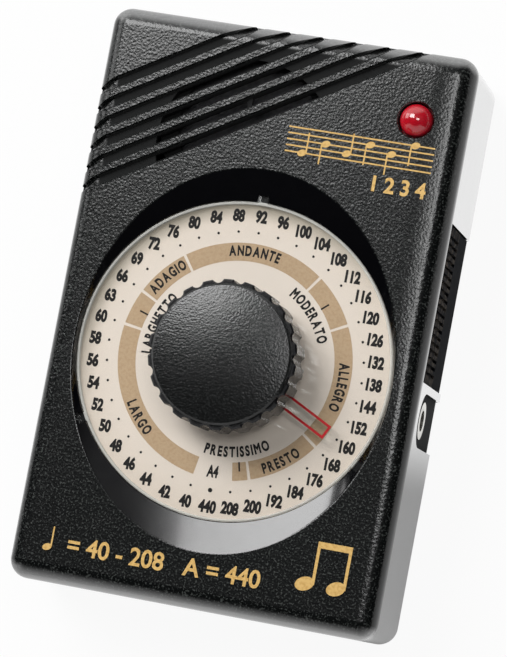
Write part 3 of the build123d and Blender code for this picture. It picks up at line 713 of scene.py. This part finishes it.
def addArcWord(sheet, word, style, radius, angle, inward, low, high):
    scale = style["height"] / (letterHigh - letterLow) * style["squeeze"]
    widths = []
    for letter in word:
        mesh = letterMesh(letter, style["weight"])
        left, right = meshSpan(mesh, 0)
        widths.append((right - left) * scale)
        bpy.data.meshes.remove(mesh)
    length = sum(widths) + style["gap"] * (len(word) - 1)
    along = -length / 2
    for letter, width in zip(word, widths):
        lean = math.degrees((along + width / 2) / radius)
        at = angle - lean if inward else angle + lean
        turn = math.pi - math.radians(at) if inward else -math.radians(at)
        addText(sheet, letter, style, onDial(radius, at), turn, low, high)
        along += width + style["gap"]


# Dial printing
dialPrint = {
    "low": dialZ + 0.005,
    "high": dialZ + 0.03,
    "scale": [(40, 60, 2), (60, 72, 3), (72, 120, 4), (120, 144, 6), (144, 216, 8)],  # from, below, step
    "topNumber": 92,
    "numberStyle": {"height": 1.85, "squeeze": 0.72, "weight": 0.058},
    "numberRadius": 24.5,
    "numberLift": 0.5,  # further out at the top and bottom
    "numberShift": -0.15,  # the longer numbers sit further in
    "dotRadius": 22.2,
    "dotSize": 0.22,
    "pitchDot": 0.38,
    "pitchNumber": 440,
}
tempoBands = {
    "inner": 17.2,
    "outer": 20.3,
    "gap": 0.5,
    "ends": [189, 279, 297, 324, 396, 423, 486, 522, 531],  # degrees, one band after another
    "style": {"height": 1.6, "squeeze": 0.66, "weight": 0.045, "gap": 0.24},
    "wordRise": 0.02,  # the words lie over the bands
    "bandWord": 18.95,
    "insideWord": 15.4,
    "tickLength": 1.6,
    "tickWidth": 0.28,
    "tickRadius": 17.95,
    # word, angle of its middle, inside the band, tops towards the centre
    "words": [
        ("LARGO", 230.0, False, True),
        ("LARGHETTO", 286.5, True, False),
        ("ADAGIO", 311.0, False, False),
        ("ANDANTE", 0.0, False, False),
        ("MODERATO", 49.3, True, False),
        ("ALLEGRO", 94.0, False, False),
        ("PRESTO", 144.2, False, True),
        ("PRESTISSIMO", 167.5, True, True),
    ],
    "ticks": [288.0, 49.5, 166.5],
    "pitchLabel": ("A4", 19.0, 180.5),
    "pitchStyle": {"height": 1.85, "squeeze": 0.58, "weight": 0.045},
}


def printDial():
    plan = dialPrint
    levels = (plan["low"], plan["high"])
    sheet = bmesh.new()
    numbers = [number for steps in plan["scale"] for number in range(*steps)] + [plan["pitchNumber"]]
    top = numbers.index(plan["topNumber"])
    for index, number in enumerate(numbers[top:] + numbers[:top]):
        angle = 360 / len(numbers) * index
        radius = plan["numberRadius"] + plan["numberLift"] * math.cos(math.radians(angle)) ** 2
        radius += plan["numberShift"] * math.sin(math.radians(angle))
        addText(sheet, str(number), plan["numberStyle"], onDial(radius, angle), 0.0, *levels)
        size = plan["pitchDot"] if number == plan["pitchNumber"] else plan["dotSize"]
        prism(sheet, disc(*onDial(plan["dotRadius"], angle), size), *levels)
    bands = tempoBands
    raised = (plan["high"], plan["high"] + bands["wordRise"])
    for word, angle, inside, inward in bands["words"]:
        radius = bands["insideWord"] if inside else bands["bandWord"]
        addArcWord(sheet, word, bands["style"], radius, angle, inward, *raised)
    for angle in bands["ticks"]:
        ends = [onDial(bands["tickRadius"] + side * bands["tickLength"] / 2, angle) for side in (-1, 1)]
        prism(sheet, bar(*ends, bands["tickWidth"]), *raised)
    label, radius, angle = bands["pitchLabel"]
    addText(sheet, label, bands["pitchStyle"], onDial(radius, angle), 0.0, *levels)
    newPiece("dial_figures", sheet, "ink_black", "case")
    sheet = bmesh.new()
    lean = math.degrees(bands["gap"] / 2 / bands["outer"])
    for start, end in zip(bands["ends"], bands["ends"][1:]):
        prism(sheet, arcBand(bands["inner"], bands["outer"], start + lean, end - lean), *levels)
    newPiece("tempo_bands", sheet, "ink_beige", "case")


printDial()
print("dial printed")


# Dial window: a clear disc with an eased rim and three lugs, just clear of the print
dialWindow = {
    "bottom": dialZ + 0.09,
    "top": windowHigh.z,
    "bore": 4.06,
    "ease": 0.22,
    "steps": 180,
    "lugs": [0.0, 120.0, 240.0],
    "lugWidth": 1.6,
    "lugRoot": 27.0,
    "lugReach": windowHigh.y - dialY,
    "lugInset": 0.05,
}


def buildWindow():
    plan = dialWindow
    rim = dialRadius
    low, high, ease = plan["bottom"], plan["top"], plan["ease"]
    profile = [
        (plan["bore"], low), (rim - ease / 2, low), (rim, low + ease / 2),
        (rim, high - ease), (rim - ease, high), (plan["bore"], high),
    ]
    sheet = bmesh.new()
    rings = []
    for index in range(plan["steps"]):
        angle = 360 / plan["steps"] * index
        places = [(*onDial(radius, angle), z) for radius, z in profile]
        rings.append([sheet.verts.new(Vector(place) * mm) for place in places])
    for index, ring in enumerate(rings):
        after = rings[(index + 1) % len(rings)]
        for corner in range(len(profile)):
            other = (corner + 1) % len(profile)
            sheet.faces.new((ring[corner], after[corner], after[other], ring[other]))
    for angle in plan["lugs"]:
        ends = onDial(plan["lugRoot"], angle), onDial(plan["lugReach"], angle)
        prism(sheet, bar(*ends, plan["lugWidth"]), low + plan["lugInset"], high - plan["lugInset"])
    piece = newPiece("dial_window_clear", sheet, "clear", "case")
    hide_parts("dial_window")


buildWindow()
print("window built")


# Pointer lines, printed on the clear arm
pointerLines = {
    "angle": 117.0,
    "from": 9.5,
    "to": 20.75,
    "apart": 2.15,
    "width": 0.42,
    "low": pointerTop + 0.005,
    "high": pointerTop + 0.02,
}


def printPointer():
    plan = pointerLines
    turn = math.radians(plan["angle"])
    out = Vector((math.sin(turn), math.cos(turn)))
    side = Vector((out.y, -out.x)) * (plan["apart"] / 2)
    hub = Vector((dialX, dialY))
    levels = (plan["low"], plan["high"])
    half = plan["width"] / 2
    sheet = bmesh.new()
    for way in (-1, 1):
        ends = [hub + out * reach + side * way for reach in (plan["from"], plan["to"] - plan["width"])]
        prism(sheet, bar(*ends, plan["width"]), *levels)
    across = side * (1 + half / side.length)
    end = hub + out * (plan["to"] - half)
    prism(sheet, bar(end - across, end + across, plan["width"]), *levels)
    newPiece("pointer_lines", sheet, "ink_red", "knob")


printPointer()
print("pointer printed")


# Gold marks on the face: a stave with notes, beats, tempo range and pitch
goldMarks = {
    "low": faceZ + 0.004,
    "high": faceZ + 0.035,
    "stave": {"left": 2.2, "right": 27.6, "bottom": 29.3, "gap": 1.05, "line": 0.26},
    "staveLines": 5,
    "staveDrop": (0.002, 0.006),  # marks that cross lie a little apart in height
    "notes": [(5.2, 0), (9.0, 2), (12.8, 1), (16.6, 3), (20.4, 2), (24.2, 4)],
    "stemDownFrom": 2,
    "noteScale": 0.85,
    "headLong": 0.95,
    "headShort": 0.66,
    "headLean": 22.0,
    "headSteps": 28,
    "stemHigh": 4.2,
    "stemWide": 0.3,
    "stemDrop": (0.001, 0.001),
    "beats": ("1 2 3 4", (22.7, 26.1), {"height": 2.5, "squeeze": 0.95, "weight": 0.03}),
    "range": ("= 40 - 208", (-13.6, -43.0), {"height": 2.9, "squeeze": 0.95, "weight": 0.02}),
    "rangeNote": (-25.6, -44.0, 0.85),
    "pitch": ("A = 440", (5.0, -43.0), {"height": 2.9, "squeeze": 0.95, "weight": 0.02}),
    "pair": (19.2, -42.2, 1.75),
    "pairApart": 5.4,
    "beam": 0.62,
    "beamDrop": (0.003, 0.003),
}


def lowered(levels, drop):
    return levels[0] - drop[0], levels[1] - drop[1]


def addNote(sheet, x, y, scale, levels, up=True):
    plan = goldMarks
    lean = math.radians(plan["headLean"])
    head = []
    for across, along in disc(0, 0, 1.0, plan["headSteps"]):
        wide = across * plan["headLong"] * scale
        tall = along * plan["headShort"] * scale
        head.append((x + wide * math.cos(lean) - tall * math.sin(lean),
                     y + wide * math.sin(lean) + tall * math.cos(lean)))
    prism(sheet, head, *levels)
    way = 1 if up else -1
    stem = x + way * (plan["headLong"] - plan["stemWide"] / 2) * scale
    top = y + way * plan["stemHigh"] * scale
    prism(sheet, bar((stem, y), (stem, top), plan["stemWide"] * scale), *lowered(levels, plan["stemDrop"]))
    return stem, top


def printGold():
    plan = goldMarks
    levels = (plan["low"], plan["high"])
    stave = plan["stave"]
    staveLevels = lowered(levels, plan["staveDrop"])
    sheet = bmesh.new()
    for line in range(plan["staveLines"]):
        y = stave["bottom"] + stave["gap"] * line
        prism(sheet, bar((stave["left"], y), (stave["right"], y), stave["line"]), *staveLevels)
    for x, step in plan["notes"]:
        y = stave["bottom"] + stave["gap"] * step
        addNote(sheet, x, y, plan["noteScale"], levels, step < plan["stemDownFrom"])
    for text, centre, style in (plan["beats"], plan["range"], plan["pitch"]):
        addText(sheet, text, style, centre, 0.0, *levels)
    addNote(sheet, *plan["rangeNote"], levels)
    x, y, scale = plan["pair"]
    tops = [addNote(sheet, x + plan["pairApart"] * side, y, scale, levels) for side in (0, 1)]
    beam = plan["beam"] * scale
    ends = [Vector(top) - Vector((0, beam / 2)) for top in tops]
    reach = Vector((plan["stemWide"] * scale / 2, 0))
    prism(sheet, bar(ends[0] - reach, ends[1] + reach, beam), *lowered(levels, plan["beamDrop"]))
    newPiece("gold_marks", sheet, "ink_gold", "case")


printGold()
print("face printed")


# Studio: white floor, world, lamps and camera
studio = {
    "floorReach": 10.0,  # metres
    "floorDrop": 0.00002,
    "floorGrey": 0.8,
    "floorRough": 0.9,
    "glow": 0.93,
    "mirrorGlow": (0.15, 1.0),  # as the polished walls see it, below and above mirrorFrom
    "mirrorFrom": (-24.0, -8.0),
    "mirrorPast": (1.0, 5.0),  # full again past the ends of the case
    "mirrorReach": (8.0, 28.0),  # and only so far out from its sides
    "mirrorFar": (1.0, 0.05),  # near and far
    "worldLow": 0.02,
    "worldHigh": 0.2,
    "highUp": (0.4, 1.0),
    "highBack": (-0.2, 0.2),
    "worldRear": 1.1,
    "rearBack": (0.55, 0.8),
    "rearTurn": 20.0,  # degrees that the light behind lies to the left
    "worldFront": 0.75,
    "frontBack": (-0.42, -0.55),
    "frontUp": (0.8, 0.6),
}


def buildFloor():
    plan = studio
    finish = Finish("floor_white")
    seen = ("Is Camera Ray", "Is Glossy Ray", "Is Transmission Ray")
    direct, glossy, through = [finish.node("ShaderNodeLightPath", out=name) for name in seen]
    y = finish.axis("Y")
    past = finish.span(abs(y) - caseHigh.y, *plan["mirrorPast"])
    out = abs(finish.axis("X")) - caseHigh.x
    mirrored = finish.span(y, *plan["mirrorFrom"], *plan["mirrorGlow"]).most(past)
    mirrored = mirrored * finish.span(out, *plan["mirrorReach"], *plan["mirrorFar"])
    paper = finish.shine({
        "Base Color": grey(plan["floorGrey"]),
        "Roughness": plan["floorRough"],
        "Specular IOR Level": 0.0,
    })
    glow = finish.node("ShaderNodeEmission", {}, {"Color": white, "Strength": 1.0})
    lit = finish.blend((direct + through).least(1.0) * plan["glow"], paper, glow)
    material = finish.close(finish.blend(glossy * mirrored, lit, glow))
    reach = plan["floorReach"]
    mesh = bpy.data.meshes.new("floor")
    corners = [(-reach, -reach), (reach, -reach), (reach, reach), (-reach, reach)]
    mesh.from_pydata([(*corner, -plan["floorDrop"]) for corner in corners], [], [(0, 1, 2, 3)])
    mesh.materials.append(material)
    floor = bpy.data.objects.new("floor", mesh)
    scene.collection.objects.link(floor)


def buildWorld():
    plan = studio
    world = bpy.data.worlds.new("studio")
    world.use_nodes = True
    finish = Finish("studio", world.node_tree)
    way = finish.node("ShaderNodeTexCoord", out="Generated")
    right, back, up = [finish.node("ShaderNodeSeparateXYZ", {}, {0: way}, out=letter) for letter in "XYZ"]
    turn = math.radians(plan["rearTurn"])
    behind = back * math.cos(turn) - right * math.sin(turn)
    overhead = finish.span(up, *plan["highUp"]) * finish.span(back, *plan["highBack"])
    before = finish.span(back, *plan["frontBack"]) * finish.span(up, *plan["frontUp"])
    sky = finish.mix(overhead, grey(plan["worldLow"]), grey(plan["worldHigh"]))
    sky = finish.mix(finish.span(behind, *plan["rearBack"]), sky, grey(plan["worldRear"]))
    sky = finish.mix(before, sky, grey(plan["worldFront"]))
    light = finish.node("ShaderNodeBackground", {}, {"Color": sky, "Strength": 1.0})
    finish.node("ShaderNodeOutputWorld", {}, {"Surface": light})
    scene.world = world


# name, place from the middle of the face, way to its back, way of its long side, length, width, power
studioLamps = [
    ("key_box", (-0.345, 0.367, 0.667), (-0.469, 0.0, 0.883), (0.883, 0.0, 0.469), 0.445, 0.37, 5.2),
    ("left_card", (-0.72, 0.3, 0.3), (-0.87, 0.2, 0.49), (0.49, 0.0, 0.87), 0.4, 0.4, 1.5),
    ("right_box", (0.247, 0.145, 0.862), (0.275, 0.16, 0.948), (0.0, 1.0, 0.0), 0.2, 0.3, 1.5),
]


def buildLamps():
    aim = Vector((dialX, 0.0, faceZ)) * mm
    for name, place, back, along, length, width, power in studioLamps:
        light = bpy.data.lights.new(name, "AREA")
        light.shape = "RECTANGLE"
        light.size = length
        light.size_y = width
        light.energy = power
        lampPiece = bpy.data.objects.new(name, light)
        way = Vector(back).normalized()
        across = way.cross(Vector(along)).normalized()
        lampPiece.location = aim + Vector(place)
        lampPiece.rotation_euler = Matrix((across.cross(way), across, way)).transposed().to_euler()
        scene.collection.objects.link(lampPiece)


camera = {
    "place": (0.12708, -0.0499, 0.60505),  # metres
    "turn": (6.85684, 11.05418, 10.85338),  # degrees
    "lens": 192.86,
    "sensor": 36.0,
    "clip": (0.01, 50.0),
}


def buildCamera():
    plan = camera
    data = bpy.data.cameras.new("camera")
    data.lens = plan["lens"]
    data.sensor_width = plan["sensor"]
    data.clip_start, data.clip_end = plan["clip"]
    piece = bpy.data.objects.new("camera", data)
    piece.location = plan["place"]
    piece.rotation_euler = [math.radians(turn) for turn in plan["turn"]]
    scene.collection.objects.link(piece)
    scene.camera = piece


buildFloor()
buildWorld()
buildLamps()
buildCamera()
print("studio built")
